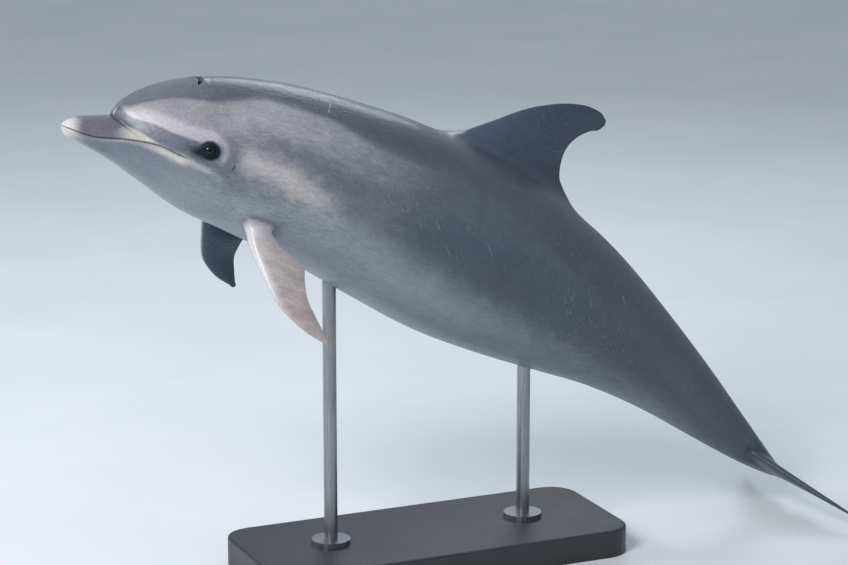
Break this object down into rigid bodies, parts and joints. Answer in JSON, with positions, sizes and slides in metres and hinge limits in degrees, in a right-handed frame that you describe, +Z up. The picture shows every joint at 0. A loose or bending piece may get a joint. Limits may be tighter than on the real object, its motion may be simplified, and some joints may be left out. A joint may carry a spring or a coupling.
{
  "type": "bottlenose dolphin display model",
  "caption": "Life-size bottlenose dolphin arched in mid-leap, mouth closed and flippers spread, held on two short rods over a flat base.",
  "frame": {"origin": "on the floor, at the middle of the stand base's flat underside", "axes": "+Z up; the dolphin faces -X, so +X runs towards its flukes along the longest side; its left side is towards -Y and its right side towards +Y, mirrored about the plane Y = 0"},
  "size_m": [2.2787, 0.7188, 1.4333],
  "materials": {
    "back_skin": "wet gloss",
    "pale_skin": "wet gloss",
    "fin_skin": "wet gloss",
    "eye": "polished",
    "base_paint": "satin black paint",
    "steel": "brushed"
  },
  "bodies": {
    "root": {"head": "back_skin", "lower_jaw": "pale_skin", "chest": "back_skin", "trunk": "back_skin", "tail_stock": "fin_skin", "dorsal_fin": "fin_skin", "flipper_left": "fin_skin", "flipper_right": "fin_skin", "fluke_left": "fin_skin", "fluke_right": "fin_skin", "eye_left": "eye", "eye_right": "eye", "stand_base": "base_paint", "stand_rod_front": "steel", "stand_rod_rear": "steel", "stand_flange_front": "steel", "stand_flange_rear": "steel"}
  },
  "joints": []
}
